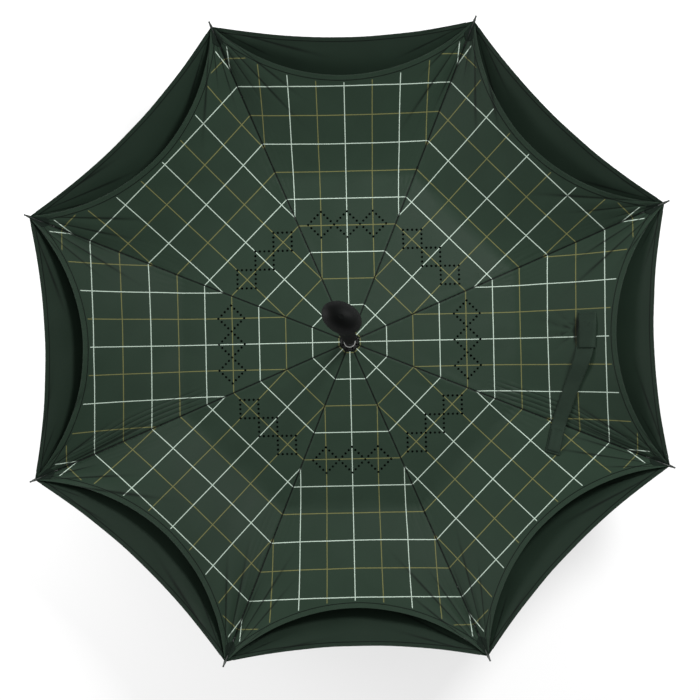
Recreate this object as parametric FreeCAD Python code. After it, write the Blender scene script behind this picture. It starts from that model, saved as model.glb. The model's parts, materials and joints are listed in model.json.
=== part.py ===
import FreeCAD, Part
import math
import os

from FreeCAD import Vector

# Reverse-folding stick umbrella with two canopies, open, lying on its crown with the handle up.
# Millimetres. +Z runs along the shaft from the ferrule to the handle, and the ferrule's end is
# at the origin. Each rib is drawn in the XZ plane and then turned about Z to its own place.

# ---- driving dimensions -------------------------------------------------------------------
rib_count = 8
first_rib_deg = 22.5

shaft_r = 5.0
shaft_wall = 0.6
shaft_low_z = 6.0
shaft_top_z = 680.0

hinge_r = 14.0            # from the shaft's axis to the hinge line at the crown and the runner
crown_hinge_z = 30.0
link_length = 286.0       # strut, and inner part of the rib: the two are equally long
open_gap = 64.0           # between the crown's and the runner's hinges when open
closed_lean_deg = 2.5     # of strut and inner rib from the shaft when closed
tip_r = 533.0             # end of the outer rod
tip_z = 205.0
rod_bend_deg = 14.0       # half of the turn that the bent outer rod makes
closed_rod_deg = -84.5    # direction of the outer rod's chord when closed

bar_thick = 1.6           # flat steel of strut and inner rib
bar_height = 4.0
strut_offset = 3.4        # strut lies beside the rib, so that the two can fold past each other
eye_r = 2.6
knee_eye_r = 3.0
rivet_r = 1.0
running = 0.05            # radial clearance of turning and sliding fits
rod_r = 1.5
socket_r = 2.3
socket_length = 30.0
cheek_in = 0.9            # fork of the outer rod's socket: inner and outer face of each cheek
cheek_out = 1.9

core_r = 10.0             # tubes of crown and runner round the shaft
runner_neck_r = 8.4       # the runner's upper end, under its collar
slot_width = 2.4
crown_flange_r = 18.0
runner_flange_r = 15.0
runner_below = 22.0       # runner's length below and above its hinge line
runner_above = 45.0

ferrule_r = 8.0
ferrule_length = 13.0
cap_r = 22.0

fabric_thick = 0.5
inner_lift = 4.5          # inner canopy above the rib's centre line
outer_drop = 5.0          # outer canopy below it
inner_hem_mid = 420.0     # hem at the middle of a gore, from the axis
outer_hem_mid = 476.0
seam_gap = 0.1

catch_width = 2.0
catch_length = 14.0
catch_out = 1.7           # how far a catch stands out of the shaft
lip = 2.0                 # of the runner, behind which a catch drops

handle_low_z = 655.0
handle_bend_deg = 110.5   # direction in which the handle leans away from the shaft
egg_turn_deg = 41.5       # of the egg's long axis from that direction

strap_width = 21.0
strap_length = 196.0

# ---- worked out ---------------------------------------------------------------------------
gore_half = math.pi / rib_count
open_angle = math.asin(open_gap / 2 / link_length)
knee_r = hinge_r + link_length * math.cos(open_angle)
knee_z = crown_hinge_z + open_gap / 2
runner_hinge_z = crown_hinge_z + open_gap
runner_top_z = runner_hinge_z + runner_above
runner_travel = 2 * link_length * math.cos(math.radians(closed_lean_deg)) - open_gap
chord_angle = math.atan2(tip_z - knee_z, tip_r - knee_r)
rod_chord = math.hypot(tip_z - knee_z, tip_r - knee_r)
start_angle = chord_angle - math.radians(rod_bend_deg)
end_angle = chord_angle + math.radians(rod_bend_deg)
rod_bow_r = rod_chord / 2 / math.sin(math.radians(rod_bend_deg))
axis_z = Vector(0, 0, 1)
axis_y = Vector(0, 1, 0)
centre = Vector(0, 0, 0)

shapes = {}


# ---- shape helpers ------------------------------------------------------------------------
def tube(r_out, r_in, z_low, z_high):
    """A ring round Z."""
    outer = Part.makeCylinder(r_out, z_high - z_low, Vector(0, 0, z_low))
    return outer.cut(Part.makeCylinder(r_in, z_high - z_low, Vector(0, 0, z_low)))


def box(x, y, z):
    """A box from (low, high) pairs."""
    return Part.makeBox(x[1] - x[0], y[1] - y[0], z[1] - z[0], Vector(x[0], y[0], z[0]))


def cylinder_y(radius, point, y_low, y_high):
    """A cylinder along Y through a point (x, z)."""
    return Part.makeCylinder(radius, y_high - y_low, Vector(point[0], y_low, point[1]), axis_y)


def revolve(points):
    """A solid of revolution about Z from (radius, z) points."""
    loop = [Vector(r, 0, z) for r, z in points]
    return Part.Face(Part.makePolygon(loop + loop[:1])).revolve(centre, axis_z, 360)


def on_ribs(shape):
    """Copies of a shape, one on each rib's line."""
    return [shape.rotated(centre, axis_z, first_rib_deg + k * 360 / rib_count) for k in range(rib_count)]


def towards(start, angle, distance):
    """The point (r, z) that lies a distance away from start in a direction."""
    return start[0] + distance * math.cos(angle), start[1] + distance * math.sin(angle)


def rod_point(share):
    """A point of the bent rod's centre line, and its direction, at a share of its length."""
    angle = start_angle + share * (end_angle - start_angle)
    r = knee_r + rod_bow_r * (math.sin(angle) - math.sin(start_angle))
    z = knee_z + rod_bow_r * (math.cos(start_angle) - math.cos(angle))
    return (r, z), angle


def flat_bar(start, end, y_mid, start_eye, end_eye, start_hole, end_hole):
    """A flat bar in the XZ plane with a drilled eye at each end."""
    y_low, y_high = y_mid - bar_thick / 2, y_mid + bar_thick / 2
    length = math.hypot(end[0] - start[0], end[1] - start[1])
    angle = math.degrees(math.atan2(end[1] - start[1], end[0] - start[0]))
    bar = box((0, length), (y_low, y_high), (-bar_height / 2, bar_height / 2))
    groove = box((12, length - 12), (y_high - 0.5, y_high), (-bar_height / 4, bar_height / 4))
    bar = bar.cut(groove)
    bar.rotate(centre, axis_y, -angle)
    bar.translate(Vector(start[0], 0, start[1]))
    for point, radius in ((start, start_eye), (end, end_eye)):
        bar = bar.fuse(cylinder_y(radius, point, y_low, y_high))
    for point, radius in ((start, start_hole), (end, end_hole)):
        bar = bar.cut(cylinder_y(radius, point, y_low - 1, y_high + 1))
    return bar.removeSplitter()


def round_path(radius, share_low, share_high):
    """A round bar along a stretch of the bent rod."""
    low, middle, high = (rod_point(s) for s in (share_low, (share_low + share_high) / 2, share_high))
    points = [Vector(p[0][0], 0, p[0][1]) for p in (low, middle, high)]
    path = Part.Wire(Part.Arc(*points).toShape())
    way = Vector(math.cos(low[1]), 0, math.sin(low[1]))
    section = Part.Wire(Part.makeCircle(radius, points[0], way))
    return path.makePipeShell([section], True, True)


# ---- shaft, crown and ferrule -------------------------------------------------------------
def make_shaft():
    shaft = tube(shaft_r, shaft_r - shaft_wall, shaft_low_z, shaft_top_z)
    half = catch_width / 2 + running
    for low in (top_catch_z, bottom_catch_z):
        shaft = shaft.cut(box((0, 10), (-half, half), (low - 0.1, low + catch_length + 0.1)))
    shapes["shaft"] = shaft


def make_crown():
    """The fixed notched ring at the top, with one slot and one pin for each strut."""
    crown = revolve([
        (shaft_r, 22), (crown_flange_r - 1, 24), (crown_flange_r, 25), (crown_flange_r, 34),
        (core_r, 34), (core_r, 38), (shaft_r, 38)])
    slot = box((core_r + 0.4, 20), (-strut_offset - slot_width / 2, -strut_offset + slot_width / 2), (27, 36))
    pin = cylinder_y(0.8, (hinge_r, crown_hinge_z), -strut_offset - 3, -strut_offset + 3)
    for cutter in on_ribs(slot) + on_ribs(pin):
        crown = crown.cut(cutter)
    shapes["crown"] = crown
    shapes["crown_pins"] = Part.makeCompound(on_ribs(pin))


def make_ferrule():
    """The cap that clamps the outer canopy to the crown, and the ferrule at the very end."""
    cap = revolve([
        (ferrule_r, 13), (12, 13.4), (17, 15), (cap_r - 1, 18), (cap_r, 19.5), (cap_r, 20.5),
        (shaft_r, 20.5), (shaft_r, 13)])
    body = revolve([
        (0, 0), (ferrule_r - 1, 0), (ferrule_r, 1), (ferrule_r, ferrule_length),
        (shaft_r, ferrule_length), (shaft_r, shaft_low_z), (0, shaft_low_z)])
    shapes["top_cap"] = cap
    shapes["ferrule"] = body
    shapes["crown_washer"] = tube(12, shaft_r, 20.5, 20.8).fuse(tube(9, shaft_r, 20.8, 22)).removeSplitter()


# ---- runner and catches -------------------------------------------------------------------
def make_runner():
    """The sliding sleeve with its notched flange; the lip at its upper end is held by a catch."""
    z = runner_hinge_z
    bore_r = shaft_r + running
    runner = revolve([
        (bore_r, z - runner_below), (core_r - 1, z - runner_below), (core_r, z - runner_below + 1),
        (core_r, z - 6), (runner_flange_r - 1, z - 6), (runner_flange_r, z - 5),
        (runner_flange_r, z + 5), (runner_flange_r - 1.5, z + 6.5), (core_r, z + 6.5),
        (core_r, runner_top_z - 13), (runner_neck_r, runner_top_z - 11), (runner_neck_r, runner_top_z),
        (bore_r, runner_top_z)])
    for slot in on_ribs(box((core_r + 0.4, 20), (-slot_width / 2, slot_width / 2), (z - 8, z + 8))):
        runner = runner.cut(slot)
    half = catch_width / 2 + 0.3
    keyway = box((0, shaft_r + catch_out + 0.3), (-half, half), (z - runner_below, runner_top_z - lip))
    shapes["runner"] = runner.cut(keyway)
    ring = [(0, -10), (0.6, -10), (1.4, -8), (1.4, -3), (0.8, -1), (0, -1)]
    shapes["runner_collar"] = revolve([(runner_neck_r + out, runner_top_z + up) for out, up in ring])
    wire_gap = math.degrees(math.asin((slot_width / 2 + 0.4) / hinge_r))
    turn = 360 / rib_count - 2 * wire_gap
    start = Vector(hinge_r, 0, z)
    section = Part.Face(Part.Wire(Part.makeCircle(0.5, start, axis_y)))
    wire = section.revolve(centre, axis_z, turn).rotated(centre, axis_z, wire_gap)
    shapes["runner_wire"] = Part.makeCompound(on_ribs(wire))
    for piece in on_ribs(wire):
        shapes["runner"] = shapes["runner"].cut(piece)


def make_catch(name, low, blunt_end_low):
    """A spring-loaded catch in a slot of the shaft: one end is blunt, and the other slopes."""
    out, flush = shaft_r + catch_out, shaft_r
    high = low + catch_length
    inside = 3.2
    if blunt_end_low:
        corners = [(inside, low), (out, low), (out, low + 3), (flush, high), (inside, high)]
    else:
        corners = [(inside, low), (flush, low), (out, high - 3), (out, high), (inside, high)]
    loop = [Vector(x, -catch_width / 2, z) for x, z in corners]
    blade = Part.Face(Part.makePolygon(loop + loop[:1])).extrude(axis_y * catch_width)
    shapes[name] = blade
    mid = (low + high) / 2
    reach = math.sqrt((shaft_r - shaft_wall - 0.02) ** 2 - 1.5 ** 2) - 0.5
    touch = inside - 0.05
    leaf = [(-reach, mid - 10), (touch, mid - 3), (touch, mid + 3), (-reach, mid + 10)]
    back = [(x - 0.5, z) for x, z in reversed(leaf)]
    loop = [Vector(x, -1.5, z) for x, z in leaf + back]
    shapes[name + "_spring"] = Part.Face(Part.makePolygon(loop + loop[:1])).extrude(axis_y * 3)


# ---- ribs ---------------------------------------------------------------------------------
def make_ribs():
    crown_hinge = (hinge_r, crown_hinge_z)
    runner_hinge = (hinge_r, runner_hinge_z)
    knee = (knee_r, knee_z)
    strut = flat_bar(crown_hinge, knee, -strut_offset, eye_r, knee_eye_r, 0.8 + running, rivet_r + running)
    inner = flat_bar(runner_hinge, knee, 0, eye_r, knee_eye_r, 0.8, rivet_r)

    rivet_low, rivet_high = -strut_offset - bar_thick / 2 - 0.2, cheek_out + 0.2
    rivet = cylinder_y(rivet_r, knee, rivet_low - 0.6, rivet_high + 0.6)
    rivet = rivet.fuse(cylinder_y(1.9, knee, rivet_low - 0.8, rivet_low))
    rivet = rivet.fuse(cylinder_y(1.9, knee, rivet_high, rivet_high + 0.8)).removeSplitter()

    arc = math.radians(2 * rod_bend_deg) * rod_bow_r
    socket_from, socket_to = 6.0 / arc, (6.0 + socket_length) / arc
    socket = round_path(socket_r, socket_from, socket_to)
    reach, way = rod_point(socket_from)
    for low in (-cheek_out, cheek_in):
        length = math.hypot(reach[0] - knee[0], reach[1] - knee[1]) + 3
        cheek = box((0, length), (low, low + cheek_out - cheek_in), (-1.8, 1.8))
        cheek.rotate(centre, axis_y, -math.degrees(way))
        cheek.translate(Vector(knee[0], 0, knee[1]))
        cheek = cheek.fuse(cylinder_y(knee_eye_r, knee, low, low + cheek_out - cheek_in))
        socket = socket.fuse(cheek)
    socket = socket.cut(cylinder_y(rivet_r + running, knee, -5, 5))
    rod = round_path(rod_r, socket_from + 4 / arc, 1.0)
    socket = socket.cut(round_path(rod_r, socket_from + 4 / arc, socket_to + 2 / arc)).removeSplitter()

    sleeve_from = 1.0 - 11 / arc
    end, end_way = rod_point(1.0)
    sleeve = round_path(2.1, sleeve_from, 1.0)
    sleeve = sleeve.cut(round_path(rod_r, sleeve_from - 1 / arc, 1.0))
    nose_way = Vector(math.cos(end_way), 0, math.sin(end_way))
    nose = Part.makeCone(2.1, 1.1, 7, Vector(end[0], 0, end[1]), nose_way)
    knob_at = towards(end, end_way, 7.6)
    tip = sleeve.fuse(nose).fuse(Part.makeSphere(1.5, Vector(knob_at[0], 0, knob_at[1]))).removeSplitter()

    outer = Part.makeCompound([rod, socket])
    parts = (
        ("strut", strut), ("rib_inner", inner), ("rib_rivet", rivet), ("rib_outer", outer), ("rib_tip", tip))
    for name, shape in parts:
        for k, turned in enumerate(on_ribs(shape)):
            shapes[f"{name}_{k + 1}"] = turned


# ---- canopies and strap -------------------------------------------------------------------
def canopy_band(lift, centre_point, thick):
    """A thin layer over one gore, straight from rib to rib, wider than the gore itself."""
    shrink = math.cos(gore_half)
    middle, _ = rod_point(0.5)
    low = [Vector(r * shrink, 0, z) for r, z in (
        centre_point, (knee_r, knee_z + lift), (middle[0], middle[1] + lift), (tip_r, tip_z + lift))]
    up = Vector(0, 0, thick)
    high = [point + up for point in low]
    edges = [
        Part.LineSegment(low[0], low[1]).toShape(),
        Part.Arc(low[1], low[2], low[3]).toShape(),
        Part.LineSegment(low[3], high[3]).toShape(),
        Part.Arc(high[3], high[2], high[1]).toShape(),
        Part.LineSegment(high[1], high[0]).toShape(),
        Part.LineSegment(high[0], low[0]).toShape()]
    band = Part.Face(Part.Wire(edges)).extrude(axis_y * 460)
    band.translate(axis_y * -230)
    return band


def gore_outline(centre_r, hem_mid):
    """An upright prism over one gore, whose hem is an arc from tip to tip."""
    shrink, spread = math.cos(gore_half), math.sin(gore_half)
    shift = seam_gap / spread
    inner_low = Vector(centre_r * shrink + shift, -centre_r * spread, -10)
    outer_low = Vector(tip_r * shrink, -(tip_r * shrink - shift) * math.tan(gore_half), -10)
    inner_high = Vector(inner_low.x, -inner_low.y, -10)
    outer_high = Vector(outer_low.x, -outer_low.y, -10)
    edges = [
        Part.LineSegment(inner_low, outer_low).toShape(),
        Part.Arc(outer_low, Vector(hem_mid, 0, -10), outer_high).toShape(),
        Part.LineSegment(outer_high, inner_high).toShape(),
        Part.LineSegment(inner_high, inner_low).toShape()]
    return Part.Face(Part.Wire(edges)).extrude(axis_z * 320)


def make_canopy(name, lift, centre_point, hem_mid):
    gore = canopy_band(lift, centre_point, fabric_thick).common(gore_outline(centre_point[0], hem_mid))
    turns = [k * 360 / rib_count for k in range(rib_count)]
    shapes[name] = Part.makeCompound([gore.rotated(centre, axis_z, turn) for turn in turns])
    print(name, "gore area mm2", round(gore.Volume / fabric_thick))


def make_strap():
    """The closing strap: sewn to the inner canopy's hem, it lies over one seam, and ends in a pad."""
    outline = box((0, strap_length), (-strap_width / 2, strap_width / 2), (0, 320))
    outline.rotate(centre, axis_z, -106.5)
    outline.translate(Vector(387, -2, 0))
    pad = box((strap_length - 26, strap_length - 2), (-strap_width / 2 + 2, strap_width / 2 - 2), (0, 320))
    pad.rotate(centre, axis_z, -106.5)
    pad.translate(Vector(387, -2, 0))
    wedge = Part.makePolygon([
        centre, Vector(600, -600 * math.tan(gore_half), 0), Vector(600, 600 * math.tan(gore_half), 0), centre])
    wedge = Part.Face(wedge).extrude(axis_z * 320)
    layers = (("strap", outline, inner_lift + 3, 1.2), ("strap_pad", pad, inner_lift + 4.4, 1.2))
    for node, cutter, lift, thick in layers:
        layer = canopy_band(lift, (30, runner_hinge_z), thick).common(wedge)
        both = layer.fuse(layer.rotated(centre, axis_z, -360 / rib_count))
        shapes[node] = both.common(cutter).removeSplitter()


# ---- handle -------------------------------------------------------------------------------
def make_handle():
    """A grip that starts round the shaft, leans away from it, and swells into an egg-shaped end."""
    grip_sections = [
        # z, lean, half width along the egg's long axis, half width across it
        (0, 0, 6.6, 6.6), (12, 0.6, 7.4, 7.4), (25, 2.6, 8.6, 8.6), (38, 7.0, 9.3, 9.2),
        (52, 12.0, 10.5, 10.2), (70, 16.2, 13.2, 12.0), (90, 19.4, 17.0, 14.4), (110, 21.4, 20.6, 16.0),
        (130, 22.3, 22.4, 16.4), (144, 22.6, 20.4, 14.8), (153, 22.8, 15.6, 11.2), (158, 22.9, 9.0, 6.4),
        (160, 22.9, 3.4, 2.4)]
    core_sections = [
        (23, 0, 3.8, 3.8), (25.5, 0, 3.9, 3.9), (31, 1.7, 4.4, 4.4), (38, 5.6, 5.0, 5.0), (52, 11.4, 5.4, 5.4),
        (70, 15.8, 6.0, 6.0), (100, 20.4, 7.0, 7.0), (115, 21.6, 6.0, 6.0)]
    grip, bent = (
        Part.makeLoft([egg_section(*section) for section in sections], True)
        .rotated(centre, axis_z, handle_bend_deg).translated(Vector(0, 0, handle_low_z))
        for sections in (grip_sections, core_sections))
    spigot = Part.makeCylinder(4.35, 30, Vector(0, 0, handle_low_z - 5))
    drill = Part.makeCylinder(1.0, 12, Vector(-6, 0, handle_low_z + 12), Vector(1, 0, 0))
    grip = grip.cut(Part.makeCylinder(shaft_r, shaft_top_z - handle_low_z, Vector(0, 0, handle_low_z)))
    shapes["handle_grip"] = grip.cut(bent)
    shapes["handle_core"] = spigot.fuse(bent).cut(drill)
    shapes["shaft"] = shapes["shaft"].cut(drill)
    shapes["handle_pin"] = Part.makeCylinder(1.0, 9.2, Vector(-4.6, 0, handle_low_z + 12), Vector(1, 0, 0))


def egg_section(z, lean, long_half, short_half):
    """A closed smooth loop, longer one way than the other, at one height of the grip."""
    count = 12
    turn = math.radians(egg_turn_deg)
    points = []
    for i in range(count):
        along = long_half * math.cos(2 * math.pi * i / count)
        across = short_half * math.sin(2 * math.pi * i / count)
        x = along * math.cos(turn) - across * math.sin(turn)
        y = along * math.sin(turn) + across * math.cos(turn)
        points.append(Vector(lean + x, y, z))
    curve = Part.BSplineCurve()
    curve.interpolate(points, PeriodicFlag=True)
    return Part.Wire(curve.toShape())


top_catch_z = runner_top_z + 0.3
bottom_catch_z = runner_top_z + runner_travel - lip - 0.3 - catch_length

make_shaft()
make_crown()
make_ferrule()
make_runner()
make_catch("top_catch", top_catch_z, True)
make_catch("bottom_catch", bottom_catch_z, False)
make_ribs()
make_canopy("inner_canopy", inner_lift, (runner_flange_r + 2, runner_hinge_z + 4), inner_hem_mid)
make_canopy("outer_canopy", -outer_drop, (13, 21.2), outer_hem_mid)
make_strap()
make_handle()

os.makedirs("parts", exist_ok=True)
for name, shape in shapes.items():
    if not shape.isValid():
        print("not valid:", name)
    shape.exportStep(f"parts/{name}.step")

closed_turn = math.degrees(math.pi / 2 - open_angle) - closed_lean_deg
print("nodes", len(shapes))
print("knee", round(knee_r, 3), round(knee_z, 3), "runner travel", round(runner_travel, 3))
print("strut turn", round(closed_turn, 4), "rib turn", round(2 * closed_turn, 4))
print("rod turn", round(math.degrees(chord_angle) - closed_rod_deg - closed_turn, 4))
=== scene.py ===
import json
import math

import bpy
import numpy as np
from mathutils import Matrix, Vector
from mathutils.geometry import delaunay_2d_cdt


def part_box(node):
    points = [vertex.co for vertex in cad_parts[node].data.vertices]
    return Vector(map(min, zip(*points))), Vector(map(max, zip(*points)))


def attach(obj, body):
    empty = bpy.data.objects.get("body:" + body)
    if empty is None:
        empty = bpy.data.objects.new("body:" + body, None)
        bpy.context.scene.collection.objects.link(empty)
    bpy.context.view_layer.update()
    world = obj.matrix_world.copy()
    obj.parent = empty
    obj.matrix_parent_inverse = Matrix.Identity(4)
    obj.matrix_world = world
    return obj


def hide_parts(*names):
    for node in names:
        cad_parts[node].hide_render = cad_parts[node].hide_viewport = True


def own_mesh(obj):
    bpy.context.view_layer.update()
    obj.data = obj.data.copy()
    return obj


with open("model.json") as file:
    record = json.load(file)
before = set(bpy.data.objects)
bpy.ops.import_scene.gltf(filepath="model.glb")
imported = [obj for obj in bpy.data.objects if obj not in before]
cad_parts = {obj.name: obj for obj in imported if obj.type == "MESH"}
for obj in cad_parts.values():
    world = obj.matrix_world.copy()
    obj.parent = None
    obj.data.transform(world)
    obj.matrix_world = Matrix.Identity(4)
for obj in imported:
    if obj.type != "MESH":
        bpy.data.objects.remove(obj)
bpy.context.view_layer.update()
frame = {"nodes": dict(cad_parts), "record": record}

# Reverse-folding stick umbrella, open, seen from the handle's side. Metres, in the CAD's frame:
# +Z runs along the shaft from the ferrule to the handle. Each gore is worked out in its own frame,
# where x runs along the middle of the gore and y across it, and is then turned about Z.

MM = 0.001

# ---- driving dimensions, the same as the part's ------------------------------------------
GORES = 8
HALF = math.pi / GORES                       # between the middle of a gore and its seam
COS, SIN, TAN = math.cos(HALF), math.sin(HALF), math.tan(HALF)
TIP_R, TIP_Z = 533 * MM, 205 * MM
ROD_BEND = math.radians(14)

joints = {joint["name"]: joint for joint in frame["record"]["behaviour"]["joints"]}
KNEE_R = math.hypot(*joints["rib_hinge_1"]["pos_m"][:2])
KNEE_Z = joints["rib_hinge_1"]["pos_m"][2]
RUNNER_Z = sum(corner[2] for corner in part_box("runner_wire")) / 2

CHORD = math.atan2(TIP_Z - KNEE_Z, TIP_R - KNEE_R)
START = CHORD - ROD_BEND                     # the outer rod's slope at the knee
BOW_R = math.hypot(TIP_Z - KNEE_Z, TIP_R - KNEE_R) / 2 / math.sin(ROD_BEND)
CORNER = (TIP_R * COS, TIP_R * SIN)

# ---- the printed cloth -------------------------------------------------------------------
PITCH = 43.1 * MM                            # between lines along the gore
RING_PITCH = 43.34 * MM                      # between rings, before the cloth is drawn out
RING_FIRST = 17.66 * MM
RADIAL_DRAW = 0.1136                         # how the cloth is drawn out towards the hem, per metre
ROD_SHARE = 0.96                             # printed length over the length along the outer rod
RING_LEAN = 8 * MM                           # how far a ring near the hem leans outwards at the seams
# where the lines along the gore start to spread, over what distance, and how much by then
FLARE_INSIDE = (230 * MM, 90 * MM, 0.03)
FLARE_OUTSIDE = (320 * MM, 115 * MM, 0.018)
DOT_R = 2.0 * MM
DOTS_A_SIDE = 4                              # steps from corner to corner of a perforated diamond
DIAMOND_RING = 4


class Canopy:
    """The sizes of one of the two canopies."""

    def __init__(self, name, centre, lift, hem_mid, belly, step, hem_width, bodies, seed):
        self.name = name
        self.printed = name == "inner_canopy"
        self.centre_r, self.centre_z = centre
        self.lift = lift                     # above the rib's centre line
        self.hem_mid = hem_mid
        self.belly = belly                   # rise of the middle of the hem above a straight span
        self.step = step
        self.hem_width = hem_width
        self.bodies = bodies                 # what the cloth inside and outside the knees rides on
        self.hem_r = ((CORNER[0] - hem_mid) ** 2 + CORNER[1] ** 2) / 2 / (CORNER[0] - hem_mid)
        self.hem_x = hem_mid + self.hem_r    # centre of the hem's arc

        # folds differ from one half gore to the next: their depth at the knee and at the tip, their
        # phases, and how close together they are
        random, halves = np.random.RandomState(seed), (GORES, 2)
        self.knee_fold = random.uniform(0.1, 0.45, halves) * MM
        self.tip_fold = random.uniform(0.9, 1.6, halves) * MM
        self.turns = random.uniform(0, 2 * math.pi, (GORES, 2, 6))
        self.counts = random.uniform(0.85, 1.2, halves)

    def seam_distance(self, x, y):
        return x * SIN - np.abs(y) * COS

    def hem_distance(self, x, y):
        return np.hypot(x - self.hem_x, y) - self.hem_r


INNER = Canopy("inner_canopy", centre=(17 * MM, RUNNER_Z + 4 * MM), lift=4.5 * MM, hem_mid=420 * MM,
               belly=28 * MM, step=4.2 * MM, hem_width=6 * MM, bodies=("rib_inner", "rib_outer"), seed=5)
OUTER = Canopy("outer_canopy", centre=(13 * MM, 21.2 * MM), lift=-5 * MM, hem_mid=476 * MM,
               belly=0.0, step=6.5 * MM, hem_width=4.5 * MM, bodies=("strut", "rib_outer"), seed=11)
STRAP_GORE = 0                               # the strap is sewn to this gore
STRAP_RIB = 7                                # the strap crosses this rib, and folds with it
TAB = (381 * MM, 10.5 * MM)                  # middle of the strap's sewn end
LITTLE_SLACK = (0.14, 0.14)                  # share of the long folds' depth, on each side of a gore
SLACK = {0: (0.15, 1.0), 4: (0.7, 0.1)}      # the same for the gores whose cloth is slack
LONG_FOLD = 1 * MM
LONG_PITCH = 7.6 * MM
# long, slow waves of the cloth: direction in radians from the middle of the gore, length, and height
SLOW_WAVES = ((0.2, 160 * MM, 0.9 * MM), (1.3, 110 * MM, 0.6 * MM), (1.9, 75 * MM, 0.35 * MM),
              (2.7, 60 * MM, 0.25 * MM))


def smooth(value, low, high):
    share = np.clip((value - low) / (high - low), 0, 1)
    return share * share * (3 - 2 * share)


# ---- the shape of the cloth --------------------------------------------------------------
def rod_height(r):
    """Height of the bent outer rod's centre line."""
    sine = np.clip((r - KNEE_R) / BOW_R + math.sin(START), -0.99, 0.99)
    return KNEE_Z + BOW_R * (math.cos(START) - np.sqrt(1 - sine ** 2))


def beside_seam(canopy, x, y):
    """Distance from the nearer seam, and from the centre along it."""
    return np.maximum(canopy.seam_distance(x, y), 0), x * COS + np.abs(y) * SIN


def by_side(y, values):
    """The first value on the gore's +y half, and the second on its other half."""
    return np.where(y < 0, values[1], values[0])


def knee_folds(canopy, gore, x, y):
    """Folds that spread from a point on the seam a little inside the knee; none on the seam itself."""
    off, along = beside_seam(canopy, x, y)
    ahead = along - (KNEE_R - 45 * MM)
    angle, far = np.arctan2(off, ahead), np.hypot(off, ahead) / (60 * MM)
    turn = by_side(y, canopy.turns[gore][:, 1])
    waves = 26 * by_side(y, canopy.counts[gore])
    ripple = np.sin(waves * angle + turn) + 0.5 * np.sin(1.7 * waves * angle + 2 * turn)
    depth = by_side(y, canopy.knee_fold[gore]) * far * np.exp(1 - far) * np.exp(-off / (22 * MM))
    return depth * ripple * (1 - np.exp(-off / (2 * MM)))


def pleats(canopy, gore, x, y):
    """Phase and depth of the folds that fan out from the tip, and of the long ones beside the seam."""
    off, along = beside_seam(canopy, x, y)
    turns = canopy.turns[gore]
    angle, far = np.arctan2(off, TIP_R - along), np.hypot(off, TIP_R - along)
    tip_turn = 17 * by_side(y, canopy.counts[gore]) * angle + by_side(y, turns[:, 2])
    reach = (48 + 20 * np.sin(9 * angle + by_side(y, turns[:, 1]))) * MM
    tip_depth = by_side(y, canopy.tip_fold[gore]) * (far / reach * np.exp(1 - far / reach)) ** 2.5
    tip_depth *= 1 - np.exp(-off / (2 * MM))

    lane = off / narrowing(along)
    long_turn = math.pi * lane / LONG_PITCH + 0.7 * np.sin(along / (31 * MM))
    long_depth = LONG_FOLD * smooth(lane, 1 * MM, 6 * MM) * (1 - smooth(lane, 24 * MM, 42 * MM))
    long_depth *= smooth(along, 230 * MM, 300 * MM) * (1 - smooth(along, 490 * MM, 525 * MM))
    long_depth *= by_side(y, SLACK.get(gore, LITTLE_SLACK)) if canopy.printed else 0.0
    return tip_turn, tip_depth, long_turn, long_depth


def narrowing(along):
    """How much closer to the seam everything beside it gets towards the tip."""
    return 0.35 + 0.65 * np.clip((TIP_R - along) / (150 * MM), 0, 1)


def pleated(turn, depth):
    """Height of a row of folds: round ridges between sharp valleys."""
    return depth * (2 * np.abs(np.sin(turn)) ** 0.7 - 1)


def tab_folds(x, y):
    """Folds that run from the sewn end of the strap towards the middle of the canopy."""
    back, side = (TAB[0] - 10 * MM) - x, y - TAB[1]
    angle, distance = np.arctan2(side, np.maximum(back, 1 * MM)), np.hypot(back, side)
    rays = np.sin(13 * angle + 0.9) + 0.4 * np.sin(29 * angle)
    rays *= np.exp(-(angle / 0.95) ** 2) * smooth(distance, 6 * MM, 16 * MM) * np.exp(-distance / (34 * MM))
    pleat = -4.5 * np.exp(-((back - 2 * MM) / (4 * MM)) ** 2) * np.exp(-((side + 4 * MM) / (20 * MM)) ** 2)
    return MM * (2.4 * rays * (back > 0) + pleat)


def wrinkles(canopy, gore, x, y):
    turns = canopy.turns[gore]
    off, along = beside_seam(canopy, x, y)
    hem = np.maximum(canopy.hem_distance(x, y), 0)
    share = np.clip(np.abs(y) / (x * TAN), 0, 1)
    made = np.zeros_like(x)
    for (angle, length, rise), turn in zip(SLOW_WAVES, turns[0]):
        wave = np.sin(2 * math.pi * (x * math.cos(angle) + y * math.sin(angle)) / length + turn)
        made += rise * wave * (1 - share ** 2) * np.clip(x / (200 * MM), 0, 1)

    # puckers along the seam, and the folds
    fade = (1 - np.exp(-off / (1.5 * MM))) * np.exp(-off / (7 * MM))
    bunch = 2 * math.pi * along / (17 * MM) + 2 * np.sin(along / (23 * MM) + by_side(y, turns[:, 4]))
    made += 0.25 * MM * np.sin(bunch + by_side(y, turns[:, 5])) * fade
    made += knee_folds(canopy, gore, x, y)
    tip_turn, tip_depth, long_turn, long_depth = pleats(canopy, gore, x, y)
    made += pleated(tip_turn, tip_depth) + pleated(long_turn, long_depth)
    if canopy.printed and gore == STRAP_GORE:
        made += tab_folds(x, y)

    # the gathered edge at the centre, the raised hem with its puckers, and the groove at the seam
    made += 1.1 * MM * np.cos(6 * math.pi * share) * np.exp(-(x - canopy.centre_r * COS) / (18 * MM))
    width = canopy.hem_width
    made += 0.5 * MM * (1 - smooth(hem, width - 0.5 * MM, width + 0.8 * MM))
    made += 0.3 * MM * np.sin(y / (2.4 * MM) + turns[0][3]) * np.exp(-hem / (9 * MM)) * (1 - share ** 4)
    made -= 0.9 * MM * np.exp(-(off / (1.1 * MM)) ** 2)
    made += 0.25 * MM * smooth(off, 1 * MM, 2 * MM) * (1 - smooth(off, 5 * MM, 6.5 * MM))
    return made


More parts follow.
